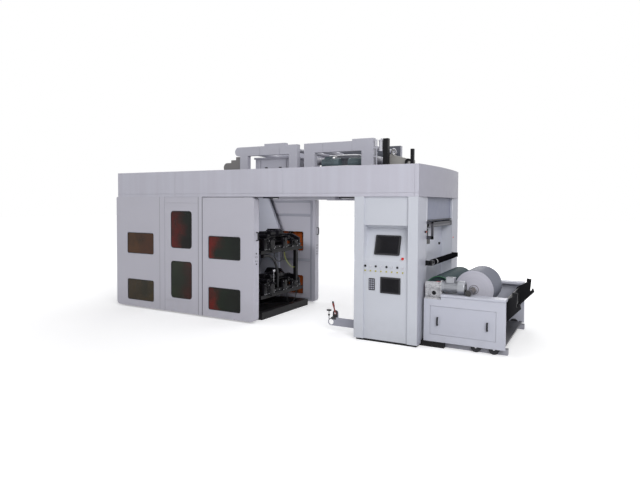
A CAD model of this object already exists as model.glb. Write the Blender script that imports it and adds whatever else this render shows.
# %% [markdown]
# # A bag film printing machine, dressed for its portrait
#
# The machine's sheet steel, rollers, frames and drives come ready made as a fixed
# frame of named nodes, in metres, standing on the floor. This lesson gives every
# surface its finish and adds what is too small for the frame: gaskets, screws,
# knobs, gear wheels, pipes, thin plates and the machinery on top.
#
# The frame is loaded first, and its box is kept, because nothing added later may
# stand outside it. Faces that pieces are set on are read off the nodes' boxes.
# The box of a cylinder with flat facets is not even about its axis, so axes are
# written down.

# %% Load the fixed frame
import math

import bmesh
import bpy
import numpy as np
from mathutils import Matrix, Vector


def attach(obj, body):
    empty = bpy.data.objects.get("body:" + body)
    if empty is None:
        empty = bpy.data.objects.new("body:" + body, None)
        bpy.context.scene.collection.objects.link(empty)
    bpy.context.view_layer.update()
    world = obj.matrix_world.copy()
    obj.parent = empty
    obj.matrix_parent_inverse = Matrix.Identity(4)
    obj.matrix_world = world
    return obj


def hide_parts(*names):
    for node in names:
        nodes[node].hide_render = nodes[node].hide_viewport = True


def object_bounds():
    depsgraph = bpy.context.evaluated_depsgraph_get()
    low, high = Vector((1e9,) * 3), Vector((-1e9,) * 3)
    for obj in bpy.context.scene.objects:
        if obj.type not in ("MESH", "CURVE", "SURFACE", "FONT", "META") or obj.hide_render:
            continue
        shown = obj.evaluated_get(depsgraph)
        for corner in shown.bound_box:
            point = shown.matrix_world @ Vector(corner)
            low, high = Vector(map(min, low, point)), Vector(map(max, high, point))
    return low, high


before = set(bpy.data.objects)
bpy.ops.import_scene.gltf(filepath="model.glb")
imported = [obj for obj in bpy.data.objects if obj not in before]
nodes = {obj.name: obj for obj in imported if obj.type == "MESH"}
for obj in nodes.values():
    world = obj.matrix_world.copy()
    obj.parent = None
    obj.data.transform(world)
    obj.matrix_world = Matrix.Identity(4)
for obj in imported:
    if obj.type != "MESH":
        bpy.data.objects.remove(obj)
cad_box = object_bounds()


def box(name):
    """The low and the high corner of a frame node's box in metres, to a tenth of a millimetre."""
    corners = np.array([tuple(corner) for corner in nodes[name].bound_box])
    return corners.min(0).round(4).tolist(), corners.max(0).round(4).tolist()


# %% [markdown]
# ## Camera
#
# The photographer stood off the right front corner, at eye height, with a mild
# wide lens. The place and the turns were worked out from the straight edges of
# the header and the doors. A tracking constraint could aim the camera, but three
# turns multiplied together say exactly what was measured, roll included.

# %% Camera at the photographer's place
LENS_MM, SENSOR_MM = 28.79, 36
SHIFT = (-0.0053, -0.0308)
CAMERA_PLACE = (4.576, -7.899, 1.999)
YAW, PITCH, ROLL = (math.radians(angle) for angle in (28.49, 90 - 1.895, 0.321))

lens = bpy.data.cameras.new("camera")
lens.lens = LENS_MM
lens.sensor_width = SENSOR_MM
lens.shift_x, lens.shift_y = SHIFT
camera = bpy.data.objects.new("camera", lens)
camera.matrix_world = (Matrix.Translation(CAMERA_PLACE) @ Matrix.Rotation(YAW, 4, "Z")
                       @ Matrix.Rotation(PITCH, 4, "X") @ Matrix.Rotation(ROLL, 4, "Z"))
bpy.context.scene.collection.objects.link(camera)
bpy.context.scene.camera = camera
print("camera at", CAMERA_PLACE, "with a", LENS_MM, "mm lens")

# %% [markdown]
# ## Hoses at the open end of the printing block
#
# One thick ink hose and three thin ones hang between the print decks. Each has a
# fixed length and leaves its socket straight, so it is a smooth NURBS line with a
# round bevel: the line's few points set where it hangs, and the curve between
# them can't kink. A mesh tube would need its own frames along the path.

# %% Four hoses as NURBS lines
HOSES = {
    "main_hose": (0.046, 0.896, "stiff", "black_rubber",
                  [(-.592, -.545, 1.075), (-.592, -.430, 1.075), (-.589, -.325, 1.038), (-.586, -.228, .960),
                   (-.585, -.160, .850), (-.587, -.130, .735), (-.589, -.118, .620), (-.592, -.115, .520),
                   (-.592, -.115, .435)]),
    "upper_hose_loop": (0.016, 0.481, "medium", "black_rubber",
                        [(-.592, -.225, 1.095), (-.592, -.225, 1.050), (-.588, -.207, 1.004),
                         (-.582, -.168, .963), (-.577, -.111, .938), (-.576, -.046, .938),
                         (-.579, .008, .960), (-.585, .040, 1.000), (-.592, .052, 1.044),
                         (-.592, .052, 1.095)]),
    "lower_hose_loop": (0.016, 0.632, "medium", "black_rubber",
                        [(-.592, .200, .315), (-.592, .200, .262), (-.598, .212, .206), (-.606, .240, .152),
                         (-.612, .290, .110), (-.614, .352, .092), (-.614, .418, .098), (-.612, .476, .130),
                         (-.606, .514, .180), (-.597, .534, .240), (-.592, .540, .285), (-.592, .540, .315)]),
    "air_tube": (0.010, 0.519, "medium", "tube_plastic",
                 [(-.592, .110, 1.095), (-.592, .110, 1.050), (-.588, .124, .994), (-.583, .158, .934),
                  (-.580, .212, .880), (-.582, .280, .832), (-.588, .350, .790), (-.592, .400, .776),
                  (-.592, .455, .776)]),
}


def hose(name, diameter, length, stiffness, slot, route):
    """A round hose along a smooth line through the pull of its route's points, standing for its node."""
    curve = bpy.data.curves.new(name + "_line", "CURVE")
    curve.dimensions = "3D"
    curve.bevel_depth = 1.0
    curve.bevel_resolution = 5
    curve.use_fill_caps = True
    line = curve.splines.new("NURBS")
    line.points.add(len(route) - 1)
    line.points.foreach_set("co", np.column_stack([route, np.ones(len(route))]).ravel())
    line.points.foreach_set("radius", np.full(len(route), diameter / 2))
    line.order_u = 3
    line.use_endpoint_u = True
    line.resolution_u = 8
    made = bpy.data.objects.new("soft_" + name, curve)
    bpy.context.scene.collection.objects.link(made)
    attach(made, "machine")
    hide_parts(name)
    return made


hoses = {name: hose(name, *facts) for name, facts in HOSES.items()}
print("hoses:", ", ".join(hoses))

# %% [markdown]
# ## Studio light and floor
#
# The seller's picture shows the machine on pure white. The white comes from the
# world as the camera, mirrors and clear sheets see it, while the light that the
# world sheds stays lower, so pale paint keeps its tone. Four broad area lamps
# act as softboxes: the strongest to the right front, where the picture is
# brightest, a weaker one to the left, one above, and one behind, so other views
# are lit too. Two small ones stand for the light panel over the walkway and for
# the light inside the printing block.

# %% World and softboxes
AMBIENT, BROAD = 0.42, 2.0
WALKWAY_X = 0.485
LAMPS = {
    "softbox_right": ((7.6, -7.4, 5.6), (1.4, 0.0, 1.2), 5.0, 520),
    "softbox_left": ((-7.5, -8.0, 5.0), (-1.8, 0.0, 1.2), 5.0, 70),
    "softbox_top": ((0.0, -1.0, 8.0), (0.0, 0.0, 0.0), 7.0, 110),
    "softbox_back": ((-1.0, 9.5, 5.5), (0.0, 0.0, 1.2), 6.0, 330),
    "walkway_light": ((WALKWAY_X, 0.0, 2.02), (WALKWAY_X, 0.0, 0.0), 0.9, 9),
    "block_light": ((-0.95, -0.45, 2.05), (-1.35, 0.7, 1.3), 0.4, 12),
}


def lamp(name, place, target, size, power):
    """A square area lamp at its place, facing its target. Only a broad one shows in mirrors."""
    data = bpy.data.lights.new(name, "AREA")
    data.shape = "SQUARE"
    data.size = size
    data.energy = power
    made = bpy.data.objects.new(name, data)
    aim = Vector(target) - Vector(place)
    made.matrix_world = Matrix.Translation(place) @ aim.to_track_quat("-Z", "Y").to_matrix().to_4x4()
    made.visible_camera = False
    made.visible_glossy = size > BROAD
    bpy.context.scene.collection.objects.link(made)


for name, facts in LAMPS.items():
    lamp(name, *facts)


def node(tree, kind, sockets=None, **settings):
    """One shader node with its settings, its sockets set to a value or linked to another node's output."""
    made = tree.nodes.new("ShaderNode" + kind)
    for setting, value in settings.items():
        setattr(made, setting, value)
    for key, value in (sockets or {}).items():
        if isinstance(value, bpy.types.NodeSocket):
            tree.links.new(value, made.inputs[key])
        else:
            made.inputs[key].default_value = value
    return made


def sums(tree, operation, *values):
    """The output of a Math node over these values or sockets."""
    return node(tree, "Math", dict(enumerate(values)), operation=operation).outputs[0]


def blend(tree, share, first, second):
    """The output of a colour Mix node: first where share is 0, second where it is 1."""
    return node(tree, "Mix", {0: share, 6: first, 7: second}, data_type="RGBA").outputs[2]


def shown_rays(tree):
    """1 for the rays in which the background is seen: straight, mirrored or through a clear sheet."""
    path = node(tree, "LightPath")
    return sums(tree, "MAXIMUM", path.outputs["Is Camera Ray"],
                sums(tree, "MAXIMUM", path.outputs["Is Glossy Ray"], path.outputs["Is Transmission Ray"]))


world = bpy.data.worlds.new("studio")
bpy.context.scene.world = world
world.use_nodes = True
tree = world.node_tree
tree.nodes.clear()
strength = sums(tree, "ADD", AMBIENT, sums(tree, "MULTIPLY", shown_rays(tree), 1 - AMBIENT))
studio = node(tree, "Background", {"Color": (1, 1, 1, 1), "Strength": strength})
node(tree, "OutputWorld", {"Surface": studio.outputs[0]})
bpy.context.scene.view_settings.view_transform = "Standard"
print("world and", len(LAMPS), "softboxes")

# %% Pale floor that keeps the shadow
FLOOR_HALF = 60.0
PAPER = (0.86, 0.86, 0.87, 1)
GLOW_START, GLOW_END = 3.5, 9.0
GLOW_NEAR, GLOW_FAR = 0.34, 0.72
floor_mesh = bpy.data.meshes.new("floor")
corners = FLOOR_HALF * np.array([(-1, -1, 0), (1, -1, 0), (1, 1, 0), (-1, 1, 0)])
floor_mesh.from_pydata(corners.tolist(), [], [(0, 1, 2, 3)])
floor = bpy.data.objects.new("floor", floor_mesh)
bpy.context.scene.collection.objects.link(floor)

floor_paper = bpy.data.materials.new("floor paper")
floor_paper.use_nodes = True
tree = floor_paper.node_tree
tree.nodes.clear()
paper = node(tree, "BsdfDiffuse", {"Color": PAPER})
reach = node(tree, "VectorMath", {0: node(tree, "TexCoord").outputs["Object"]}, operation="LENGTH")
fade = node(tree, "MapRange", {"Value": reach.outputs["Value"], "From Min": GLOW_START, "From Max": GLOW_END,
                               "To Min": GLOW_NEAR, "To Max": GLOW_FAR})
seen_glow = sums(tree, "MULTIPLY", shown_rays(tree), fade.outputs[0])
glow = node(tree, "Emission", {"Color": (1, 1, 1, 1), "Strength": seen_glow})
both = node(tree, "AddShader", {0: paper.outputs[0], 1: glow.outputs[0]})
node(tree, "OutputMaterial", {"Surface": both.outputs[0]})
floor_mesh.materials.append(floor_paper)
print("floor paper", 2 * FLOOR_HALF, "m square")

# %% [markdown]
# ## Shared finishes as node groups
#
# Powder coat, cast iron, ground steel and rubber all need the same few effects:
# clouds in the colour, a light line along edges, dust near the floor, a fine
# pebble in the surface. Each is a node group, built once, with its strengths as
# inputs. Object coordinates carry the patterns, because every piece's place is in
# its mesh, so a pattern never slides.

# %% A node group's sockets
PEBBLE = 0.00025


def effect(name, inputs, outputs):
    """An empty node group with these inputs and outputs, as (tree, input node, output node)."""
    group = bpy.data.node_groups.new(name, "ShaderNodeTree")
    kinds = {"colour": "NodeSocketColor", "value": "NodeSocketFloat", "vector": "NodeSocketVector"}
    for label, kind, default in inputs:
        socket = group.interface.new_socket(label, in_out="INPUT", socket_type=kinds[kind])
        socket.default_value = default
    for label, kind in outputs:
        group.interface.new_socket(label, in_out="OUTPUT", socket_type=kinds[kind])
    return group, group.nodes.new("NodeGroupInput"), group.nodes.new("NodeGroupOutput")


def ramp(tree, value, low, high):
    """0 below low, 1 above high, and a straight line between."""
    return node(tree, "MapRange", {"Value": value, "From Min": low, "From Max": high}).outputs[0]


def noise(tree, where, scale, detail=3.0):
    """Soft cloudy noise from 0 to 1 at this many clouds a metre."""
    return node(tree, "TexNoise", {"Vector": where, "Scale": scale, "Detail": detail}).outputs[0]


print("depth of the finest pebble:", PEBBLE, "m")

# %% Coat: clouds, smudges, edge light, floor dust and orange peel
EDGE_WIDTH, EDGE_LIGHT = 0.005, (0.82, 0.82, 0.86, 1)
DUST_TOP, FLOOR_DUST = 0.45, (0.16, 0.15, 0.145, 1)
coat, given, result = effect(
    "coat",
    [("Colour", "colour", (0.5, 0.5, 0.5, 1)), ("Clouds", "value", 0.06), ("Edge", "value", 0.3),
     ("Dust", "value", 0.3), ("Shine", "value", 0.4), ("Peel", "value", 0.25)],
    [("Colour", "colour"), ("Roughness", "value"), ("Normal", "vector")])
where = node(coat, "TexCoord").outputs["Object"]
clouds = sums(coat, "SUBTRACT", noise(coat, where, 1.3), 0.5)
smudges = noise(coat, where, 9.0, 4.0)
lift = sums(coat, "ADD", 1.0, sums(coat, "MULTIPLY", clouds, sums(coat, "MULTIPLY", given.outputs["Clouds"], 2)))
tone = node(coat, "VectorMath", {0: given.outputs["Colour"], "Scale": lift}, operation="SCALE").outputs[0]
round_edge = node(coat, "Bevel", {"Radius": EDGE_WIDTH}, samples=4).outputs[0]
flat = node(coat, "NewGeometry").outputs["Normal"]
bend = sums(coat, "SUBTRACT", 1.0, node(coat, "VectorMath", {0: round_edge, 1: flat},
                                        operation="DOT_PRODUCT").outputs["Value"])
rim = sums(coat, "MULTIPLY", ramp(coat, bend, 0.02, 0.25), given.outputs["Edge"])
worn = blend(coat, rim, tone, EDGE_LIGHT)
height = node(coat, "SeparateXYZ", {0: where}).outputs["Z"]
low = sums(coat, "SUBTRACT", 1.0, ramp(coat, height, 0.0, DUST_TOP))
dust = sums(coat, "MULTIPLY", sums(coat, "MULTIPLY", low, smudges), given.outputs["Dust"])
dusty = blend(coat, dust, worn, FLOOR_DUST)
coat.links.new(dusty, result.inputs["Colour"])
rough = sums(coat, "ADD", given.outputs["Shine"],
             sums(coat, "MULTIPLY", sums(coat, "SUBTRACT", smudges, 0.5), 0.22))
coat.links.new(rough, result.inputs["Roughness"])
peel = node(coat, "Bump", {"Strength": given.outputs["Peel"], "Distance": PEBBLE,
                           "Height": noise(coat, where, 260.0, 2.0), "Normal": round_edge}).outputs[0]
coat.links.new(peel, result.inputs["Normal"])
print("coat:", len(coat.nodes), "nodes")

# %% Grain: fine rings or streaks drawn out along one direction
grain, given, result = effect(
    "grain",
    [("Colour", "colour", (0.5, 0.5, 0.5, 1)), ("Stretch", "vector", (1.0, 1.0, 1.0)),
     ("Contrast", "value", 0.2), ("Shine", "value", 0.3), ("Depth", "value", 0.3)],
    [("Colour", "colour"), ("Roughness", "value"), ("Normal", "vector")])
where = node(grain, "TexCoord").outputs["Object"]
drawn = node(grain, "VectorMath", {0: where, 1: given.outputs["Stretch"]}, operation="MULTIPLY").outputs[0]
streaks = noise(grain, drawn, 1.0, 5.0)
patches = noise(grain, where, 6.0, 3.0)
swing = sums(grain, "MULTIPLY", sums(grain, "SUBTRACT", streaks, 0.5), given.outputs["Contrast"])
lift = sums(grain, "ADD", sums(grain, "ADD", 0.93, swing), sums(grain, "MULTIPLY", patches, 0.14))
tone = node(grain, "VectorMath", {0: given.outputs["Colour"], "Scale": lift}, operation="SCALE").outputs[0]
grain.links.new(tone, result.inputs["Colour"])
rough = sums(grain, "ADD", given.outputs["Shine"], sums(grain, "MULTIPLY", swing, 0.6))
grain.links.new(rough, result.inputs["Roughness"])
ridges = node(grain, "Bump", {"Strength": given.outputs["Depth"], "Distance": PEBBLE, "Height": streaks}).outputs[0]
grain.links.new(ridges, result.inputs["Normal"])
print("grain:", len(grain.nodes), "nodes")

# %% Speckle: dark and pale flecks of a rough casting or worn rubber
speckle, given, result = effect(
    "speckle",
    [("Colour", "colour", (0.5, 0.5, 0.5, 1)), ("Fleck", "colour", (0.1, 0.1, 0.1, 1)),
     ("Size", "value", 60.0), ("Share", "value", 0.3)],
    [("Colour", "colour"), ("Height", "value")])
where = node(speckle, "TexCoord").outputs["Object"]
spots = node(speckle, "TexVoronoi", {"Vector": where, "Scale": given.outputs["Size"]}).outputs["Distance"]
soft = noise(speckle, where, 22.0, 5.0)
share = sums(speckle, "MULTIPLY", ramp(speckle, sums(speckle, "ADD", spots, soft), 0.95, 0.70),
             given.outputs["Share"])
speckle.links.new(blend(speckle, share, given.outputs["Colour"], given.outputs["Fleck"]), result.inputs["Colour"])
speckle.links.new(soft, result.inputs["Height"])
print("node groups:", ", ".join(group.name for group in bpy.data.node_groups))

# %% [markdown]
# ## Materials
#
# The covers are powder coated in a cool pale grey, which leans to violet in the
# picture. Every painted piece has its own tone of it, mixed by one function, so
# the whole machine can be repainted by one change. Colours are written as the
# eye sees them, from 0 to 255, and turned into light values once.

# %% Colours as light values, and colours that change over a surface
def seen_as(red, green, blue):
    """The light value of a screen colour: ((c + 0.055) / 1.055) to the power 2.4."""
    screen = np.array([red, green, blue]) / 255
    light = np.where(screen > 0.04045, ((screen + 0.055) / 1.055) ** 2.4, screen / 12.92)
    return (*light.tolist(), 1.0)


def object_place(tree):
    """A point's Object coordinates."""
    return node(tree, "TexCoord").outputs["Object"]


def beyond(tree, axis, edge, soft=0.003):
    """1 where a point's Object coordinate along this axis is past the edge, and 0 before it."""
    return ramp(tree, node(tree, "SeparateXYZ", {0: object_place(tree)}).outputs[axis], edge - soft, edge + soft)


def two_tone(axis, edge, first, second):
    """A colour for painted() that is the first before the edge and the second past it."""
    return lambda tree: blend(tree, beyond(tree, axis, edge), first, second)


def facing_out(tree):
    """A point's distance to the machine's middle plane, times how far its face turns away from that plane."""
    side = node(tree, "SeparateXYZ", {0: object_place(tree)}).outputs["Y"]
    turned_to = node(tree, "SeparateXYZ", {0: node(tree, "NewGeometry").outputs["Normal"]}).outputs["Y"]
    return sums(tree, "MULTIPLY", side, turned_to)


def lined(first, second):
    """A colour for painted() that is the second on faces turned to the machine's middle plane."""
    return lambda tree: blend(tree, ramp(tree, facing_out(tree), -0.4, -0.5), first, second)


def streaked(colour, paler):
    """A colour for painted() with faint upright streaks: noise drawn out along Z."""
    def mixed(tree):
        drawn = node(tree, "VectorMath", {0: object_place(tree), 1: (9.0, 9.0, 0.25)}, operation="MULTIPLY")
        return blend(tree, ramp(tree, noise(tree, drawn.outputs[0], 1.0, 4.0), 0.40, 0.66), colour, paler)
    return mixed


def seamed(colour, line, seams, half=0.004, soft=0.008):
    """A colour for painted() with a line of its own depth where the distance along X to a seam is small."""
    def mixed(tree):
        place = node(tree, "SeparateXYZ", {0: object_place(tree)}).outputs["X"]
        shade = colour
        for seam, depth in seams:
            away = sums(tree, "ABSOLUTE", sums(tree, "SUBTRACT", place, seam))
            shade = blend(tree, sums(tree, "MULTIPLY", ramp(tree, away, soft, half), depth), shade, line)
        return shade
    return mixed


print("white as light:", seen_as(255, 255, 255)[:3])

# %% Painted surfaces
def material(name):
    """An empty node material with a Principled shader, as (material, tree, shader)."""
    made = bpy.data.materials.new(name)
    made.use_nodes = True
    tree = made.node_tree
    return made, tree, tree.nodes["Principled BSDF"]


def effect_node(tree, group, sockets):
    """A node that places a group in a material with its own values."""
    made = tree.nodes.new("ShaderNodeGroup")
    made.node_tree = group
    for key, value in sockets.items():
        if isinstance(value, bpy.types.NodeSocket):
            tree.links.new(value, made.inputs[key])
        else:
            made.inputs[key].default_value = value
    return made


def lay_on(tree, film, shader):
    """Links a group's colour, roughness and normal to the shader."""
    for key, socket in (("Colour", "Base Color"), ("Roughness", "Roughness"), ("Normal", "Normal")):
        tree.links.new(film.outputs[key], shader.inputs[socket])


def painted(name, colour, clouds=0.05, edge=0.16, dust=0.25, shine=0.42, peel=0.25, mirror=0.5):
    """Powder coated steel of one colour, or of a colour worked out in the material's own tree."""
    made, tree, shader = material(name)
    lay_on(tree, effect_node(tree, coat, {"Colour": colour(tree) if callable(colour) else colour, "Clouds": clouds,
                                          "Edge": edge, "Dust": dust, "Shine": shine, "Peel": peel}), shader)
    shader.inputs["Specular IOR Level"].default_value = mirror
    return made


pale_coat = painted("pale coat", seen_as(200, 200, 208))
print("painted:", pale_coat.name)

# %% Paints of the covers, frames and walls
COLUMN_END = box("column_front")[1][0]
HANDLE_FRONT, BRACKET_STEP, BRACKET_EAR, RAIL_STEP, GRIP_START = -0.9362, 0.19, 0.985, 0.0795, 0.432
panel_low, panel_high = box("front_centre_panel")
SEAMS = ((panel_low[0], 0.5), (panel_low[0] + 0.124, 0.25), (panel_high[0] - 0.093, 1.0),
         (panel_high[0] - 0.005, 1.0))
grey, black, wall = seen_as(150, 151, 163), seen_as(32, 32, 36), seen_as(187, 189, 201)
roof = seen_as(176, 176, 187)

header_coat = painted("header coat", streaked(seen_as(187, 186, 198), seen_as(191, 191, 203)))
header_end_coat = painted("header end coat", seen_as(153, 152, 165))
cover_coat = painted("cover coat", seamed(seen_as(188, 187, 198), seen_as(112, 112, 120), SEAMS))
column_coat = painted("column coat", two_tone("X", COLUMN_END - 0.006, seen_as(197, 200, 209), seen_as(172, 174, 186)))
unwinder_coat = painted("unwinder coat", wall)
panel_coat = painted("access panel coat", two_tone("Y", HANDLE_FRONT, seen_as(14, 14, 16), wall), mirror=0.15)
inner_coat = painted("inner coat", seen_as(196, 199, 212))
grey_coat = painted("grey coat", seen_as(150, 150, 160))
frame_coat = painted("side frame coat", seen_as(178, 180, 192), edge=0.05)
guard_coat = painted("guard coat", seen_as(124, 128, 148), shine=0.5, peel=0.1)
top_coat = painted("top coat", roof, clouds=0.08)
lined_coat = painted("lined top coat", lined(roof, seen_as(84, 86, 96)), clouds=0.08)
motor_box_coat = painted("motor box coat", seen_as(112, 110, 110), clouds=0.1)
tan_coat = painted("tan coat", seen_as(150, 148, 145), clouds=0.12, dust=0)
soffit_coat = painted("soffit coat", seen_as(120, 119, 130))
box_coat = painted("drying box coat", seen_as(184, 184, 196), clouds=0.06, dust=0)
black_coat = painted("black coat", seen_as(21, 21, 24), edge=0.05, dust=0.08, mirror=0.15)
deck_coat = painted("deck coat", seen_as(17, 16, 20), clouds=0.3, edge=0.05, dust=0.05, shine=0.4, mirror=0.16)
bracket_tones = two_tone("Z", BRACKET_STEP, grey, black)
bracket_coat = painted("bracket coat", dust=0.1, colour=lambda tree: blend(
    tree, beyond(tree, "X", BRACKET_EAR), bracket_tones(tree), grey))
base_coat = painted("unwinder base coat", two_tone("Z", RAIL_STEP, seen_as(150, 150, 160), seen_as(58, 58, 64)),
                    edge=0.05, dust=0.1)
lever_coat = painted("lever coat", two_tone("Z", GRIP_START, seen_as(128, 38, 32), seen_as(30, 28, 30)), edge=0.05,
                     dust=0.1, shine=0.35)
strip_coat = painted("dark strip", seen_as(56, 55, 62), edge=0.1, dust=0)
gloss_black = painted("roller black", seen_as(20, 20, 23), edge=0.0, dust=0.0, shine=0.3, peel=0.02, mirror=0.0)
paints = len(bpy.data.materials)
print("paints:", paints)

# %% Metals, castings, rubbers and plastics
PIT_DEPTH = 0.001


def metal(name, colour, stretch, shine=0.25, contrast=0.3, depth=0.2, metallic=1.0, tint=1.0):
    """Bare metal with a grain drawn out along the direction whose stretch is smallest."""
    made, tree, shader = material(name)
    lay_on(tree, effect_node(tree, grain, {"Colour": colour, "Stretch": stretch, "Contrast": contrast,
                                           "Shine": shine, "Depth": depth}), shader)
    shader.inputs["Metallic"].default_value = metallic
    shader.inputs["Specular Tint"].default_value = (tint, tint, tint, 1)
    return made


def flecked(name, colour, fleck, size, share, roughness=0.6, depth=0.4, mirror=0.35):
    """A casting, rubber or plastic with flecks in its colour and a soft rough surface."""
    made, tree, shader = material(name)
    film = effect_node(tree, speckle, {"Colour": colour, "Fleck": fleck, "Size": size, "Share": share})
    tree.links.new(film.outputs["Colour"], shader.inputs["Base Color"])
    bump = node(tree, "Bump", {"Strength": depth, "Distance": PIT_DEPTH, "Height": film.outputs["Height"]})
    tree.links.new(bump.outputs[0], shader.inputs["Normal"])
    shader.inputs["Roughness"].default_value = roughness
    shader.inputs["Specular IOR Level"].default_value = mirror
    return made


dark_chrome = metal("dark chrome", (0.13, 0.13, 0.15, 1), (400, 6, 400), shine=0.14, contrast=0.2, depth=0.05,
                    tint=0.5)
print_chrome = metal("big drum chrome", (0.5, 0.5, 0.54, 1), (60, 300, 60), shine=0.16, contrast=0.1, depth=0.05)
steel = metal("ground steel", (0.55, 0.55, 0.58, 1), (500, 30, 500), shine=0.3)
long_steel = metal("rail steel", (0.15, 0.15, 0.17, 1), (8, 500, 500), shine=0.32)
motor_silver = metal("motor silver", (0.34, 0.35, 0.38, 1), (40, 200, 40), shine=0.36, depth=0.1, metallic=0.75)
cast = flecked("casting paint", seen_as(186, 186, 190), seen_as(84, 84, 90), 55, 0.55)
drum_rubber = flecked("drum rubber", seen_as(60, 76, 80), seen_as(44, 56, 62), 30, 0.3, mirror=0.06)
black_rubber = flecked("black rubber", seen_as(34, 34, 38), seen_as(58, 58, 62), 90, 0.2, roughness=0.62)
black_plastic = flecked("black plastic", seen_as(30, 30, 34), seen_as(44, 44, 48), 400, 0.2, roughness=0.42,
                        depth=0.15)
red_plastic = flecked("red plastic", seen_as(206, 42, 34), seen_as(160, 28, 24), 50, 0.3, roughness=0.32,
                      depth=0.05)
print("metals, castings, rubbers and plastics:", len(bpy.data.materials) - paints)

# %% Air shaft: clamp, worn middle and bare end
BARE_START, CLAMP_START = -0.600, -0.800
shaft_look, tree, shader = material("air shaft steel")
bare = effect_node(tree, grain, {"Colour": (0.5, 0.5, 0.53, 1), "Stretch": (300.0, 20.0, 300.0), "Contrast": 0.3})
mottled = effect_node(tree, speckle, {"Colour": seen_as(94, 86, 80), "Fleck": seen_as(50, 46, 44), "Size": 70.0,
                                      "Share": 0.8})
shade = blend(tree, beyond(tree, "Y", CLAMP_START), seen_as(34, 33, 36), mottled.outputs["Colour"])
tree.links.new(blend(tree, beyond(tree, "Y", BARE_START), shade, bare.outputs["Colour"]), shader.inputs["Base Color"])
tree.links.new(bare.outputs["Roughness"], shader.inputs["Roughness"])
tree.links.new(beyond(tree, "Y", BARE_START), shader.inputs["Metallic"])
print("materials:", len(bpy.data.materials))

# %% [markdown]
# ## Window panes
#
# The panes are tinted clear sheets. From outside they look nearly black with
# dull red and green patches, where the room and the print decks mirror and show
# through, and from inside, with the light behind them, they glow orange. One
# sheet can do both: the sign of its normal tells the outer face from the inner,
# which gets the glow. The outer face's colours change step by step along the
# machine, with wavy edges, on Object coordinates, so they stay where they are
# from any view.

# %% Tinted pane
PANE_TONES = [(-3.060, seen_as(92, 60, 34), seen_as(66, 54, 34)),
              (-2.400, seen_as(84, 52, 34), seen_as(72, 60, 38)),
              (-2.010, seen_as(104, 24, 20), seen_as(40, 50, 32)),
              (-1.880, seen_as(34, 24, 22), seen_as(44, 36, 26)),
              (-1.500, seen_as(14, 15, 15), seen_as(84, 22, 18)),
              (-1.270, seen_as(130, 26, 20), seen_as(118, 26, 18)),
              (-0.900, seen_as(22, 34, 24), seen_as(24, 36, 22)),
              (0.0, seen_as(16, 22, 19), seen_as(22, 26, 20))]
WAVE_WIDTH, STEP_HALF = 0.62, 0.13


def pane_colours(tree):
    """The upper and lower panes' colours, changing from step to step along X with wavy edges."""
    where = object_place(tree)
    place = node(tree, "SeparateXYZ", {0: where})
    wave = sums(tree, "MULTIPLY", sums(tree, "SUBTRACT", noise(tree, where, 3.4, 3.0), 0.5), WAVE_WIDTH)
    along = sums(tree, "ADD", place.outputs["X"], wave)
    upper, lower = PANE_TONES[0][1:]
    for (edge, *_), (_, high, low) in zip(PANE_TONES, PANE_TONES[1:]):
        passed = ramp(tree, along, edge - STEP_HALF, edge + STEP_HALF)
        upper, lower = blend(tree, passed, upper, high), blend(tree, passed, lower, low)
    tone = blend(tree, ramp(tree, place.outputs["Z"], 1.00, 1.02), lower, upper)
    shadow = sums(tree, "MULTIPLY", ramp(tree, noise(tree, where, 2.6, 2.0), 0.44, 0.64), 0.6)
    return blend(tree, shadow, tone, seen_as(26, 34, 27))


pane, tree, shader = material("tinted pane")
drawn = node(tree, "VectorMath", {0: object_place(tree), 1: (5.0, 0.1, 0.8)}, operation="MULTIPLY").outputs[0]
glow = blend(tree, ramp(tree, noise(tree, drawn, 1.6, 3.0), 0.42, 0.62), seen_as(170, 84, 40), seen_as(60, 44, 32))
outside = sums(tree, "GREATER_THAN", facing_out(tree), 0.0)
tree.links.new(blend(tree, outside, glow, pane_colours(tree)), shader.inputs["Base Color"])
shader.inputs["Roughness"].default_value = 0.06
shader.inputs["Specular IOR Level"].default_value = 0.1
shader.inputs["Transmission Weight"].default_value = 0.3
shader.inputs["IOR"].default_value = 1.45
print("pane:", len(PANE_TONES), "steps of colour")

# %% [markdown]
# ## Finishes on the frame, the hoses and the film
#
# One table says which nodes wear which finish. A finish goes into the object's
# own material slot, because two nodes may share a mesh. The film roll's ends
# show its wound layers. Noise over the distance from the roll's axis alone
# draws them as rings, at any zoom and without a picture.

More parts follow.
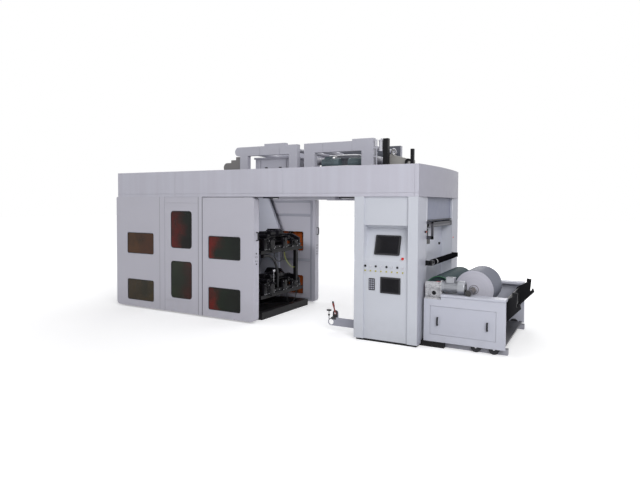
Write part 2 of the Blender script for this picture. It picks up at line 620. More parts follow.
# %% Finishes of the frame's nodes
FINISHES = {
    header_coat: ["header_front", "header_rear", "header_left_end"],
    header_end_coat: ["header_right_end"],
    soffit_coat: ["header_beams", "header_deck"],
    cover_coat: ["front_cover", "rear_cover", "front_centre_panel", "rear_centre_panel", "left_end_wall",
                 "front_door", "rear_door"],
    column_coat: ["column_front", "column_rear"],
    inner_coat: ["column_inner_panel"],
    guard_coat: ["column_guard_panel"],
    unwinder_coat: ["unwinder_front_wall", "unwinder_rear_wall"],
    panel_coat: ["access_panel"],
    top_coat: ["top_frame_left"],
    lined_coat: ["top_frame_right"],
    frame_coat: ["side_frame_front", "side_frame_rear"],
    box_coat: ["drying_box"],
    base_coat: ["unwinder_base"],
    bracket_coat: ["lever_bracket"],
    lever_coat: ["hand_lever"],
    motor_box_coat: ["top_motor"],
    tan_coat: ["top_guard"],
    black_coat: ["base_frame", "column_base", "top_posts", "loading_arms", "roller_brackets"],
    deck_coat: ["decks_right", "decks_left"],
    pane: ["fixed_windows", "front_door_windows", "rear_door_windows"],
    black_plastic: ["front_door_handle", "rear_door_handle", "screens", "console_controls"],
    red_plastic: ["stop_button"],
    dark_chrome: ["upper_roller"],
    print_chrome: ["impression_drum"],
    long_steel: ["door_rails"],
    steel: ["print_rollers"],
    shaft_look: ["air_shaft"],
    cast: ["gearbox"],
    motor_silver: ["gear_motor"],
    drum_rubber: ["surface_drum"],
    gloss_black: ["lower_roller"],
    black_rubber: ["rail_wheels"],
}


def finish(name, look):
    """Gives a frame node its material through its object's own slot."""
    shown = nodes[name]
    if not shown.data.materials:
        shown.data.materials.append(None)
    for slot in shown.material_slots:
        slot.link = "OBJECT"
        slot.material = look


for look, names in FINISHES.items():
    for name in names:
        finish(name, look)
print("finished nodes:", sum(map(len, FINISHES.values())))

# %% Hose finishes
hose_rubber = flecked("hose rubber", seen_as(30, 30, 33), seen_as(52, 52, 56), 160, 0.25, roughness=0.5)
air_plastic = flecked("air tube plastic", seen_as(170, 180, 60), seen_as(140, 150, 40), 200, 0.2,
                      roughness=0.3, depth=0.1)
for name, cord in hoses.items():
    cord.data.materials.append(air_plastic if name == "air_tube" else hose_rubber)
print("finished hoses:", len(hoses))

# %% The wound film: rings of layers on its ends, a darker outer face
ROLL_X, ROLL_Z, ROLL_RADIUS = 3.0161, 0.7903, 0.272
OUTER_FACE, LAYER_DEPTH = ROLL_RADIUS - 0.003, 0.0008
film, tree, shader = material("wound film")
parts = node(tree, "SeparateXYZ", {0: object_place(tree)})
out_x = sums(tree, "SUBTRACT", parts.outputs["X"], ROLL_X)
out_z = sums(tree, "SUBTRACT", parts.outputs["Z"], ROLL_Z)
radius = sums(tree, "SQRT", sums(tree, "ADD", sums(tree, "MULTIPLY", out_x, out_x),
                                 sums(tree, "MULTIPLY", out_z, out_z)))
turns = node(tree, "CombineXYZ", {"X": radius})
layers = noise(tree, turns.outputs[0], 420.0, 2.0)
bands = noise(tree, turns.outputs[0], 40.0, 3.0)
along = node(tree, "CombineXYZ", {"X": parts.outputs["Y"]})
creases = noise(tree, along.outputs[0], 60.0, 3.0)
mixed = sums(tree, "ADD", sums(tree, "MULTIPLY", layers, 0.5), sums(tree, "MULTIPLY", bands, 0.5))
tone = blend(tree, mixed, seen_as(172, 172, 185), seen_as(214, 213, 224))
tone = blend(tree, sums(tree, "MULTIPLY", creases, 0.2), tone, seen_as(216, 215, 224))
tone = blend(tree, ramp(tree, radius, OUTER_FACE, OUTER_FACE + LAYER_DEPTH), tone, seen_as(112, 115, 128))
tree.links.new(tone, shader.inputs["Base Color"])
shader.inputs["Roughness"].default_value = 0.5
shader.inputs["Specular IOR Level"].default_value = 0.08
bump = node(tree, "Bump", {"Strength": 0.3, "Distance": LAYER_DEPTH, "Height": mixed})
tree.links.new(bump.outputs[0], shader.inputs["Normal"])
finish("film_roll", film)
unfinished = sorted(n for n in nodes if not nodes[n].hide_render
                    and (not nodes[n].material_slots or nodes[n].material_slots[0].link != "OBJECT"))
print("nodes without a finish:", unfinished)

# %% [markdown]
# ## Shapes as grids of points
#
# Every added piece is a surface worked out on a grid: rows run along a profile or
# a path, columns run round it. A row whose points all meet makes a closed end.
# The same grid can be moved to many places at once by adding a list of offsets,
# which is how rows of screws, fins and keys are made. Blender's primitives would
# need one call each, and give no bevels.

# %% Grids, and one mesh from many of them
WELD, SLIVER, SHARP_DEGREES = 1e-6, 1e-7, 35


def unit(vector):
    """The vector divided by its length."""
    vector = np.asarray(vector, float)
    return vector / np.linalg.norm(vector)


def closed_cells(grid, ring):
    """Four-cornered faces between neighbours, wrapping round the columns, and round the rows of a ring."""
    count, rows, columns = grid.shape[:3]
    index = np.arange(count * rows * columns).reshape(count, rows, columns)
    near, far = (index, np.roll(index, -1, 1)) if ring else (index[:, :-1], index[:, 1:])
    return np.stack([near, np.roll(near, -1, 2), np.roll(far, -1, 2), far], -1).reshape(-1, 4)


def piece(name, body, slot, look, *surfaces):
    """One object from (grid, ring) surfaces, with doubles merged, faces outward and sharp edges crisp."""
    points = [grid.reshape(-1, 3) for grid, ring in surfaces]
    starts = np.cumsum([0] + [len(part) for part in points[:-1]])
    faces = [closed_cells(grid, ring) + start for (grid, ring), start in zip(surfaces, starts)]
    mesh = bpy.data.meshes.new(name)
    mesh.from_pydata(np.concatenate(points).tolist(), [], np.concatenate(faces).tolist())
    work = bmesh.new()
    work.from_mesh(mesh)
    bmesh.ops.remove_doubles(work, verts=work.verts, dist=WELD)
    bmesh.ops.dissolve_degenerate(work, edges=work.edges, dist=SLIVER)
    bmesh.ops.recalc_face_normals(work, faces=work.faces)
    work.to_mesh(mesh)
    work.free()
    mesh.shade_smooth()
    mesh.set_sharp_from_angle(angle=math.radians(SHARP_DEGREES))
    mesh.materials.append(look)
    made = bpy.data.objects.new(name, mesh)
    bpy.context.scene.collection.objects.link(made)
    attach(made, body)
    print(name, len(mesh.polygons), "faces on", body)
    return made


def at(surface, offsets):
    """Copies of a surface, one moved to each offset."""
    grid, ring = surface
    offsets = np.asarray(offsets, float).reshape(-1, 1, 1, 1, 3)
    return (grid[None] + offsets).reshape(-1, *grid.shape[1:]), ring


def mirrored(surface):
    """The same surface on the drive side: Y changes sign."""
    return surface[0] * np.array([1, -1, 1]), surface[1]


def both_sides(*surfaces):
    """Each surface and its mirror image across the machine."""
    return [copy for surface in surfaces for copy in (surface, mirrored(surface))]


print("points nearer than", WELD, "m are merged")

# %% Turned surfaces
RIGHT, FAR, NEAR, UP, ORIGIN = (1, 0, 0), (0, 1, 0), (0, -1, 0), (0, 0, 1), (0, 0, 0)
SLANT = (0.1, 0.2, 1.0)


def turned(centre, axis, profile, segments=24):
    """A profile of (radius, distance along the axis) carried round the axis: centre + along + radius (cos, sin)."""
    axis = unit(axis)
    side = unit(np.cross(axis, SLANT if abs(axis[2]) < 0.9 else RIGHT))
    up = np.cross(axis, side)
    turn = np.linspace(0, 2 * np.pi, segments, endpoint=False)
    rim = np.outer(np.cos(turn), side) + np.outer(np.sin(turn), up)
    radius, along = np.asarray(profile, float).T
    grid = np.asarray(centre) + along[:, None, None] * axis + radius[:, None, None] * rim
    return grid[None], False


def ring_round(x, z, y_low, y_high, inner, outer, segments=36):
    """A closed ring with a square section round an axis across the machine, from y_low to y_high."""
    section = [(inner, y_low), (outer, y_low), (outer, y_high), (inner, y_high)]
    return turned((x, 0, z), FAR, section, segments)[0], True


def bolt(out, radius, proud):
    """A bolt head at the origin, standing out along a direction, six sided with a bevelled top."""
    return turned(ORIGIN, out, [(0, 0), (radius, 0), (radius, proud * 0.8), (radius * 0.85, proud),
                                (0, proud)], 6)


def dome(out, radius=0.007, proud=0.003):
    """A dome screw head at the origin: a quarter circle turned round the direction."""
    lean = np.linspace(0, np.pi / 2, 4)
    return turned(ORIGIN, out, [(0, 0), *zip(radius * np.cos(lean), proud * np.sin(lean))], 12)


def circle_of(centre, out, radius, count):
    """Offsets of a bolt circle: centre + radius (cos, sin) in the plane across a direction."""
    return turned(centre, out, [(radius, 0)], count)[0][0, 0]


print("a dome's grid:", dome(UP)[0].shape)

# %% Plates and frames
FRONT, REAR, END = (RIGHT, UP), ((-1, 0, 0), UP), (FAR, UP)
TOP, BOTTOM = (RIGHT, FAR), (RIGHT, NEAR)


def rounded_outline(length, height, corner, inset=0.0, arc=4):
    """Points round a rectangle: each corner's centre plus the corner radius times (cos, sin) over its quarter."""
    radius = max(corner - inset, 1e-4)
    turn = np.radians(np.concatenate([np.linspace(q, q + 90, arc + 1) for q in (0, 90, 180, 270)]))
    signs = np.repeat([[1, 1], [-1, 1], [-1, -1], [1, -1]], arc + 1, 0)
    half = np.array([length, height]) / 2 - inset - radius
    return signs * half + radius * np.column_stack([np.cos(turn), np.sin(turn)])


def stacked(centre, facing, outlines, levels):
    """Flat outlines over the plane of a facing: centre + (across, up) of a point + its level outward."""
    across, up = (unit(direction) for direction in facing)
    flat, level = np.stack(outlines), np.asarray(levels, float)[:, None, None]
    grid = np.asarray(centre) + flat[..., :1] * across + flat[..., 1:] * up + level * np.cross(across, up)
    return grid[None]


def plate(centre, facing, length, height, thick, corner=0.004, rim=0.0015):
    """A rounded rectangle stacked up from centre along its facing, with its outer rim bevelled."""
    stack = [(0, 0), (0, thick - rim), (rim * 0.3, thick - rim * 0.3), (rim, thick)]
    outlines = [rounded_outline(length, height, corner, inset) for inset, level in stack]
    point = np.zeros_like(outlines[0])
    levels = [0, *(level for inset, level in stack), thick]
    return stacked(centre, facing, [point, *outlines, point], levels), False


def strip_frame(centre, facing, length, height, corner, section):
    """A closed section of (outset, level) carried round a rounded rectangle."""
    outlines = [rounded_outline(length, height, corner, -outset) for outset, level in section]
    return stacked(centre, facing, outlines, [level for outset, level in section]), True


print("a plate's grid:", plate(ORIGIN, TOP, 1, 1, 0.01)[0].shape)

# %% Pipes
def pipe(route, radius, segments=10, samples=4):
    """A round bar along a smoothed route: points + radius (cos, sin) across the route's direction."""
    route = np.asarray(route, float)
    place = np.linspace(0, len(route) - 1, samples * (len(route) - 1) + 1)
    low = np.clip(place.astype(int), 0, len(route) - 2)
    share = (place - low)[:, None]
    padded = np.vstack([2 * route[0] - route[1], route, 2 * route[-1] - route[-2]])
    a, b, c, d = (padded[low + k] for k in range(4))
    line = 0.5 * (2 * b + (c - a) * share + (2 * a - 5 * b + 4 * c - d) * share ** 2
                  + (3 * b - a - 3 * c + d) * share ** 3)
    ahead = np.gradient(line, axis=0)
    ahead /= np.linalg.norm(ahead, axis=1)[:, None]
    spread = route.max(0) - route.min(0)
    least = np.eye(3)[np.argmin(spread)] + 0.01
    side = np.cross(ahead, least)
    side /= np.linalg.norm(side, axis=1)[:, None]
    up = np.cross(ahead, side)
    turn = np.linspace(0, 2 * np.pi, segments, endpoint=False)
    rim = np.cos(turn)[None, :, None] * side[:, None] + np.sin(turn)[None, :, None] * up[:, None]
    walls = line[:, None] + radius * rim
    ends = np.repeat(line[[0, -1]][:, None], segments, 1)
    return np.concatenate([ends[:1], walls, ends[1:]])[None], False


print("a straight pipe's grid:", pipe([ORIGIN, RIGHT], 0.01)[0].shape)

# %% [markdown]
# ## Gaskets, screws and bars of the covers
#
# Each pane sits in a black rubber profile, and small domed screws hold the centre
# panels. On the inside the doors show flat stiffening bars. A gasket is a little
# closed section carried round the window's rounded outline, the screws are one
# dome copied to all places at once.

# %% Window gaskets
FACE = cad_box[0].y
PANE_FACE = FACE + 0.012
GASKET = [(0.0, 0.0), (-0.010, 0.0), (-0.0095, 0.004), (-0.006, 0.0062), (-0.0015, 0.0065), (0.0, 0.0055)]
SIDE_PANE, SIDE_HEIGHTS = (0.692, 0.395, 0.035), (0.3475, 1.2305)
CENTRE_PANE, CENTRE_HEIGHTS = (0.500, 0.670, 0.060), (0.614, 1.515)
windows_low, windows_high = box("fixed_windows")
LEFT_X, CENTRE_X = windows_low[0] + SIDE_PANE[0] / 2, windows_high[0] - CENTRE_PANE[0] / 2
DOOR_X = box("front_door_windows")[0][0] + SIDE_PANE[0] / 2


def gaskets(x, heights, pane_shape):
    """Gaskets of one column of windows on the front side, for panes of this (length, height, corner)."""
    return [strip_frame((x, PANE_FACE, z), FRONT, *pane_shape, GASKET) for z in heights]


def on_doors(name, slot, look, *surfaces):
    """One piece on the front door, and its mirror image on the rear door."""
    piece("front_door_" + name, "front_door", slot, look, *surfaces)
    piece("rear_door_" + name, "rear_door", slot, look, *map(mirrored, surfaces))


fixed = gaskets(LEFT_X, SIDE_HEIGHTS, SIDE_PANE) + gaskets(CENTRE_X, CENTRE_HEIGHTS, CENTRE_PANE)
piece("cover_gaskets", "machine", "black_rubber", black_rubber, *both_sides(*fixed))
on_doors("gaskets", "black_rubber", black_rubber, *gaskets(DOOR_X, SIDE_HEIGHTS, SIDE_PANE))

# %% Screws of the centre panels
PANEL_FACE = FACE + 0.006
panel_screws = [(x, PANEL_FACE, z) for x in (-2.380, -1.636) for z in 0.36 + 0.30 * np.arange(6)]
panel_screws += [(x, PANEL_FACE, z) for x in (-2.20, -1.82) for z in (0.10, 2.045)]
piece("panel_screws", "machine", "steel", steel, *both_sides(at(dome(NEAR), panel_screws)))

# %% Stiffening bars on the doors' inner faces
DOOR_EDGE, DOOR_INNER, _ = box("front_door")[1]
DOOR_BARS = [(-0.957, 1.760, 0.86, 0.055), (-0.957, 0.860, 0.86, 0.055), (-0.957, 2.030, 0.86, 0.045),
             (-0.957, 0.085, 0.86, 0.045), (-0.500, 1.058, 0.045, 1.99), (-1.420, 1.058, 0.045, 1.99)]
rib_coat = painted("door rib coat", seen_as(162, 163, 175), edge=0.05)
on_doors("stiffeners", "light_paint", rib_coat,
         *[plate((x, DOOR_INNER, z), REAR, length, height, 0.006, 0.003, 0.002) for x, z, length, height in DOOR_BARS])

# %% Buttons and pins on the doors' free edges
BUTTON_Y, PIN_OFFSET = -1.025, 0.018
edge_button = turned(ORIGIN, RIGHT, [(0, 0), (0.013, 0), (0.013, 0.004), (0.011, 0.006), (0, 0.006)], 16)
edge_pin = turned(ORIGIN, RIGHT, [(0, 0), (0.006, 0), (0.006, 0.002), (0.004, 0.003), (0, 0.003)], 10)
button_places = [(DOOR_EDGE, BUTTON_Y, z) for z in (1.163, 0.989)]
pin_places = [(DOOR_EDGE, y, z) for y in (BUTTON_Y - PIN_OFFSET, BUTTON_Y + PIN_OFFSET)
              for z in (1.112, 1.098, 1.045, 1.031)]
on_doors("edge_buttons", "black_plastic", black_plastic, at(edge_button, button_places), at(edge_pin, pin_places))

# %% [markdown]
# ## Under the header
#
# The light panel over the walkway is one broad rounded plate between two narrow
# ones, set under the beams. Dark strips on the beams stand to its left and its
# right.

# %% Light panel and strips under the header
UNDER = box("header_front")[0][2]
PANEL_LENGTH = 1.03
STRIPS = ((-0.225, 0.38), (1.195, 0.37))
piece("light_panel", "machine", "light_paint", header_coat,
      *both_sides(plate((WALKWAY_X, -0.825, UNDER), BOTTOM, PANEL_LENGTH, 0.22, 0.044, 0.006, 0.003)),
      plate((WALKWAY_X, 0.0, UNDER + 0.032), BOTTOM, PANEL_LENGTH, 1.10, 0.050, 0.006, 0.003))
piece("beam_strips", "machine", "grey_paint", strip_coat,
      *both_sides(*[plate((x, -0.780, UNDER), BOTTOM, length, 0.11, 0.024, 0.004, 0.002) for x, length in STRIPS]))

# %% [markdown]
# ## The operator's console
#
# Two rows of eight controls run across the console: knobs, black and pale in
# turn, and yellow-green push buttons under them. Each control is a bezel and a
# cap, both turned profiles, and the keypad is a plate with three by five keys.
# They stand for the plain controls of the frame, so they can have their colours.

# %% Knobs, push buttons and keypad
CONSOLE = FACE + 0.028
FIRST_CONTROL, PITCH, CONTROLS, KNOB_ROW, BUTTON_ROW = 1.569, 0.082, 8, 1.095, 1.027
KEYPAD_X, KEYPAD_Z, KEYPAD_THICK, KEY_DX, KEY_DZ = 1.673, 0.832, 0.008, 0.028, 0.031
BEZEL = [(0, 0), (0.017, 0), (0.017, 0.0035), (0.0155, 0.005), (0.0125, 0.005), (0.0125, 0.003), (0, 0.003)]
CAP = [(0, 0.003), (0.0115, 0.003), (0.0115, 0.009), (0.010, 0.0115), (0.006, 0.013), (0, 0.0133)]
GRIP = [(0, 0.003), (0.0118, 0.003), (0.0112, 0.017), (0.0095, 0.020), (0, 0.0205)]
bezel, cap, grip = (turned(ORIGIN, NEAR, profile, 20) for profile in (BEZEL, CAP, GRIP))
knobs, buttons = ([(FIRST_CONTROL + PITCH * k, CONSOLE, z) for k in range(CONTROLS)] for z in (KNOB_ROW, BUTTON_ROW))
pale_plastic = flecked("pale plastic", seen_as(205, 206, 214), seen_as(188, 188, 198), 300, 0.2, roughness=0.4,
                       depth=0.05)
yellow_plastic = flecked("yellow plastic", seen_as(176, 172, 66), seen_as(140, 140, 50), 200, 0.25,
                         roughness=0.35, depth=0.05)
key_plastic = flecked("key plastic", seen_as(150, 152, 164), seen_as(120, 122, 134), 200, 0.2, roughness=0.5,
                      depth=0.05)
piece("black_knobs", "machine", "control_plastic", black_plastic, at(bezel, knobs[0::2]), at(grip, knobs[0::2]))
piece("pale_knobs", "machine", "control_plastic", pale_plastic, at(bezel, knobs[1::2]), at(grip, knobs[1::2]))
piece("button_bezels", "machine", "steel", pale_plastic, at(bezel, buttons))
piece("push_buttons", "machine", "control_plastic", yellow_plastic, at(cap, buttons))
keypad = piece("keypad", "machine", "black_plastic", black_plastic,
               plate((KEYPAD_X, CONSOLE, KEYPAD_Z), FRONT, 0.094, 0.172, KEYPAD_THICK, 0.006, 0.002))
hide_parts("console_controls")
key_places = [(KEYPAD_X + KEY_DX * column, CONSOLE - KEYPAD_THICK, KEYPAD_Z + KEY_DZ * row)
              for column in (-1, 0, 1) for row in (-2, -1, 0, 1, 2)]
piece("keys", "machine", "control_plastic", key_plastic,
      at(plate(ORIGIN, FRONT, 0.021, 0.022, 0.004, 0.004, 0.0015), key_places))

# %% Screens: bezel, dark glass, and the stop button's collar
SLOPE, SLOPE_FOOT = (0.0, 0.142, 0.465), 1.175
SLOPE_FACING = (RIGHT, SLOPE)
SLOPE_OUT = np.cross(RIGHT, unit(SLOPE))
LOW_SCREEN_X, LOW_SCREEN_Z = 1.958, 0.833


def on_slope(x, z):
    """The point of the console's sloping face at this place and height."""
    return np.array([x, CONSOLE + SLOPE[1] / SLOPE[2] * (z - SLOPE_FOOT), z])


main_screen = on_slope(1.890, 1.400)
bezel_section = [(0.012, 0.0), (0.012, 0.018), (0.009, 0.0235), (0.002, 0.0255), (-0.010, 0.0255), (-0.010, 0.0)]
low_section = [(outset, level * 0.45) for outset, level in bezel_section]
piece("screen_bezels", "machine", "screen_plastic", black_plastic,
      strip_frame(main_screen, SLOPE_FACING, 0.356, 0.266, 0.006, bezel_section),
      strip_frame((LOW_SCREEN_X, CONSOLE, LOW_SCREEN_Z), FRONT, 0.279, 0.209, 0.006, low_section))
glass, tree, shader = material("screen glass")
dim = noise(tree, object_place(tree), 3.0, 1.0)
tree.links.new(blend(tree, dim, seen_as(12, 12, 15), seen_as(30, 29, 34)), shader.inputs["Base Color"])
shader.inputs["Roughness"].default_value = 0.16
shader.inputs["Specular IOR Level"].default_value = 0.12
piece("screen_glass", "machine", "screen_plastic", glass,
      plate(main_screen + 0.0238 * SLOPE_OUT, SLOPE_FACING, 0.352, 0.262, 0.0012, 0.004, 0.0004),
      plate((LOW_SCREEN_X, CONSOLE - 0.0100, LOW_SCREEN_Z), FRONT, 0.275, 0.205, 0.0010, 0.004, 0.0004))
COLLAR = [(0.030, 0.0), (0.030, 0.004), (0.027, 0.007), (0.021, 0.007), (0.021, 0.0)]
collar = turned(on_slope(2.135, 1.221), SLOPE_OUT, COLLAR, 28)
piece("stop_collar", "machine", "control_plastic", pale_plastic, (collar[0], True))

# %% [markdown]
# ## The column's open end
#
# Beside the guide rollers the column's end carries white edge trims, eight
# screws, a small sensor with a red face, and on the drive side a red signal
# light. A round bar runs across above the upper roller, and a dark bracket of
# three plates stands beside it. All are small pieces set on the column's end.

# %% Trims, screws, sensor and signal light on the column's end
SENSOR_Y, SENSOR_Z, SENSOR_THICK = -0.772, 1.600, 0.020
white_trim = painted("white trim", seen_as(232, 233, 240), dust=0.0)
piece("edge_trims", "machine", "light_paint", white_trim,
      *both_sides(plate((COLUMN_END, -0.7125, 1.920), END, 0.012, 0.34, 0.004, 0.004, 0.001)))
piece("end_screws", "machine", "steel", steel,
      at(dome(RIGHT, 0.008), [(COLUMN_END, y, z) for y in (-0.800, -0.745) for z in (1.755, 1.690)]),
      at(dome(RIGHT, 0.006), [(COLUMN_END, 0.78, z) for z in (1.66, 1.60, 1.55, 1.50)]))
piece("end_sensor", "machine", "black_plastic", black_plastic,
      plate((COLUMN_END, SENSOR_Y, SENSOR_Z), END, 0.075, 0.030, SENSOR_THICK, 0.004, 0.003))
piece("sensor_face", "machine", "red_plastic", red_plastic,
      plate((COLUMN_END + SENSOR_THICK, SENSOR_Y - 0.016, SENSOR_Z), END, 0.018, 0.018, 0.003, 0.004, 0.001))
piece("signal_dots", "machine", "red_plastic", red_plastic,
      at(dome(RIGHT, 0.013, 0.010), [(COLUMN_END, 0.79, 1.435)]))
KNOB = [(0, 0), (0.022, 0), (0.022, 0.012), (0.016, 0.022), (0, 0.024)]
piece("panel_knob", "machine", "black_plastic", black_plastic,
      turned((box("column_inner_panel")[1][0], 0.52, 1.345), RIGHT, KNOB, 18))

# %% Guide bar, roller bracket and collars
GUIDE_X, GUIDE_Z, ARM_Y = 2.352, 1.757, -0.706
LOWER_ROLLER = (2.432, 1.150)
ARM_PLATES = ((2.4205, 1.515, 0.102, 0.050), (2.4540, 1.615, 0.035, 0.250), (2.4205, 1.728, 0.102, 0.024))
piece("guide_bar", "machine", "roller_chrome", dark_chrome,
      pipe([(GUIDE_X, y, GUIDE_Z) for y in (ARM_Y, 0.0, -ARM_Y)], 0.009, 12, 2))
piece("roller_arm", "machine", "grey_paint", strip_coat,
      *[plate((x, ARM_Y, z), FRONT, length, height, 0.012, 0.006, 0.002) for x, z, length, height in ARM_PLATES])
piece("lower_roller_collar", "lower_roller", "steel", steel,
      ring_round(*LOWER_ROLLER, -0.500, -0.478, 0.044, 0.0462),
      ring_round(*LOWER_ROLLER, -0.6235, -0.619, 0.020, 0.038))

# %% [markdown]
# ## Drives and bearings of the unwinder
#
# The worm gearbox has its cover bolts in a circle and at its edges, and a plug.
# The motor's cowl has a grille of three rings, and its cowl and terminal box have
# screws. Bolts are six sided profiles copied to a list of places, rings are
# square sections turned round an axis, so the drum's green and red rings and the
# core of the roll are made the same way.

# %% Gearbox bolts and shaft end
GEAR_FACE, DRUM_END = -0.871, box("surface_drum")[0][1]
DRUM_X, DRUM_Z = 2.540, 0.756
body_bolts = [(x, GEAR_FACE, z) for x in (2.433, 2.621) for z in (0.708, 0.780, 0.842)]
piece("gearbox_bolts", "machine", "steel", steel,
      at(bolt(NEAR, 0.0045, 0.004), circle_of((DRUM_X, DRUM_END, DRUM_Z), NEAR, 0.067, 12)),
      at(bolt(NEAR, 0.008, 0.006), body_bolts))
PLUG = [(0, 0), (0.020, 0), (0.020, 0.005), (0.016, 0.008), (0.010, 0.008), (0.009, 0.014), (0, 0.014)]
piece("gearbox_plug", "machine", "steel", steel, turned((2.600, GEAR_FACE, 0.848), NEAR, PLUG, 24))
SHAFT_END = [(0, 0), (0.029, 0), (0.029, 0.003), (0.026, 0.005), (0.009, 0.005), (0.008, 0.001), (0, 0.001)]
piece("drum_shaft_end", "surface_drum", "black_paint", black_coat,
      turned((DRUM_X, DRUM_END - 0.0002, DRUM_Z), NEAR, SHAFT_END, 32))

# %% Cowl grille, its screws and the terminal box's screws
MOTOR_Y, MOTOR_Z = -0.8245, 0.848
COWL_END, BOX_TOP = box("gear_motor")[1][0::2]
grille = [(turned((COWL_END - 0.008, MOTOR_Y, MOTOR_Z), RIGHT,
                  [(r, 0.0), (r + 0.003, 0.0), (r + 0.003, 0.006), (r, 0.006)], 40)[0], True)
          for r in (0.034, 0.042, 0.050)]
piece("cowl_grille", "machine", "black_plastic", black_plastic, *grille)
piece("cowl_screws", "machine", "steel", steel,
      at(dome(RIGHT, 0.004, 0.002), circle_of((COWL_END, MOTOR_Y, MOTOR_Z), RIGHT, 0.068, 4)),
      at(dome(UP, 0.005, 0.003), [(x, y, BOX_TOP) for x in (2.712, 2.810) for y in (-0.8695, -0.7795)]))

# %% Rings on the drum's near end
green_ring = painted("green ring", seen_as(52, 112, 80), dust=0.0, shine=0.35)
red_hub = painted("red hub", seen_as(196, 44, 62), dust=0.0, shine=0.35)
piece("drum_green_ring", "surface_drum", "green_rubber", green_ring,
      ring_round(DRUM_X, DRUM_Z, -0.6485, -0.6445, 0.1935, 0.2045, 72))
piece("drum_red_hub", "surface_drum", "red_plastic", red_hub,
      ring_round(DRUM_X, DRUM_Z, -0.6685, -0.6645, 0.1125, 0.1345, 56))

# %% Core of the film roll, and the edges of its layers
core_card = flecked("core card", seen_as(80, 74, 68), seen_as(60, 55, 51), 120, 0.4, roughness=0.7)
piece("film_core", "film_roll", "film", core_card,
      *[ring_round(ROLL_X, ROLL_Z, y, y + 0.010, 0.0585, 0.064, 40) for y in (-0.5545, 0.1045)])
piece("film_edges", "film_roll", "film", film,
      ring_round(ROLL_X, ROLL_Z, -0.5490, -0.5445, 0.2450, ROLL_RADIUS - 0.002, 72),
      ring_round(ROLL_X, ROLL_Z, -0.5475, -0.5445, 0.1500, 0.1530, 64))

# %% Screws of the walls' top rails
RAIL_FACE = box("unwinder_front_wall")[0][1]
rail_bolts = [(x, RAIL_FACE - 0.0002, 0.7325) for x in np.arange(2.70, 3.50, 0.15)]
piece("rail_bolts", "machine", "steel", steel, *both_sides(at(dome(NEAR, 0.005, 0.002), rail_bolts)))

# %% [markdown]
# ## Machinery of the print decks
#
# The decks' ends are crowded with black machinery: bearing blocks, clamping
# cylinders, drive motors, gear wheels and rigid pipes. One list of places serves
# both decks, lifted from the lower to the upper one, so the two match. Gear
# teeth come from a flattened sine wave of the angle.

# %% Gear wheels, hoops and clamping cylinders
def gear_wheel(centre, axis, radius, thick, teeth):
    """A toothed disc: the rim's radius follows a flattened sine wave of the angle, one wave a tooth."""
    grid, ring = turned(centre, axis, [(0, 0), (radius * 0.35, 0), (radius * 0.4, thick * 0.25),
                                       (radius * 0.75, thick * 0.25), (radius * 0.8, 0), (1, 0), (1, thick),
                                       (radius * 0.8, thick), (radius * 0.4, thick), (0, thick)], teeth * 4)
    wave = np.tanh(3 * np.sin(2 * np.pi * np.arange(teeth * 4) / 4 + 0.4))
    rim = radius * (0.96 + 0.04 * wave)
    middle = np.asarray(centre) + np.array([0, thick])[:, None] * unit(axis)
    spoke = grid[0, 5:7] - middle[:, None]
    grid[0, 5:7] = middle[:, None] + spoke * rim[None, :, None]
    return grid, ring


def hoop(centre, axis, radius, thick):
    """A round ring: a small circle of six points carried round the axis in 40 steps."""
    turn = np.linspace(0, 2 * np.pi, 6, endpoint=False)
    section = np.column_stack([radius + thick * np.cos(turn), thick * np.sin(turn)])
    return turned(centre, axis, section, 40)[0], True


def cylinder_body(centre, axis, radius, length):
    """A clamping cylinder: barrel, two square-edged caps and a thinner rod, in one profile."""
    cap = radius * 1.18
    return turned(centre, axis, [(0, 0), (cap, 0), (cap, 0.018), (radius, 0.020), (radius, length - 0.020),
                                 (cap, length - 0.018), (cap, length), (radius * 0.35, length),
                                 (radius * 0.35, length + 0.035), (0, length + 0.035)], 20)


print("a gear wheel's grid:", gear_wheel(ORIGIN, RIGHT, 0.05, 0.01, 20)[0].shape)

# %% Machinery of both decks
LEVELS = (0.520, 1.300)
BLOCKS = ((-0.60, 0.09, 0.21), (-0.42, 0.20, 0.18), (0.02, 0.14, 0.19), (0.36, 0.20, 0.13))
BARRELS = ((-0.52, 0.11, 0.036, 0.29), (-0.36, 0.05, 0.030, 0.30), (0.15, 0.07, 0.030, 0.29), (0.30, 0.02, 0.030, 0.27))
WHEELS = ((-0.42, 0.00, 0.062, 22), (0.36, -0.04, 0.050, 20), (0.02, 0.030, 0.045, 16))
MOTOR = [(0, 0), (0.050, 0), (0.056, 0.006), (0.056, 0.05), (0.050, 0.052), (0.050, 0.058), (0.056, 0.060),
         (0.056, 0.15), (0.044, 0.165), (0.015, 0.165), (0.015, 0.20), (0, 0.20)]
HUB = [(0, 0), (0.016, 0), (0.016, 0.025), (0.010, 0.032), (0, 0.032)]
BLOCK_LOW, BLOCK_FACE, BOLT_INSET = -0.125, 0.030, 0.018
HAND_WHEEL, HAND_WHEEL_Y, HAND_WHEEL_Z = 0.052, -0.60, 0.035
PIPES = [(0.011, 5, [(-0.030, -0.58, -0.120), (0.022, -0.55, -0.120), (0.028, -0.30, -0.125),
                     (0.028, 0.05, -0.125), (0.022, 0.30, -0.120), (-0.030, 0.33, -0.120)]),
         (0.008, 6, [(-0.020, -0.50, -0.050), (0.045, -0.49, -0.050), (0.048, -0.46, -0.100),
                     (0.045, -0.43, -0.150), (-0.020, -0.42, -0.155)]),
         (0.008, 6, [(-0.020, 0.29, -0.020), (0.045, 0.30, -0.020), (0.048, 0.35, -0.050),
                     (0.045, 0.40, -0.090), (-0.020, 0.41, -0.095)])]
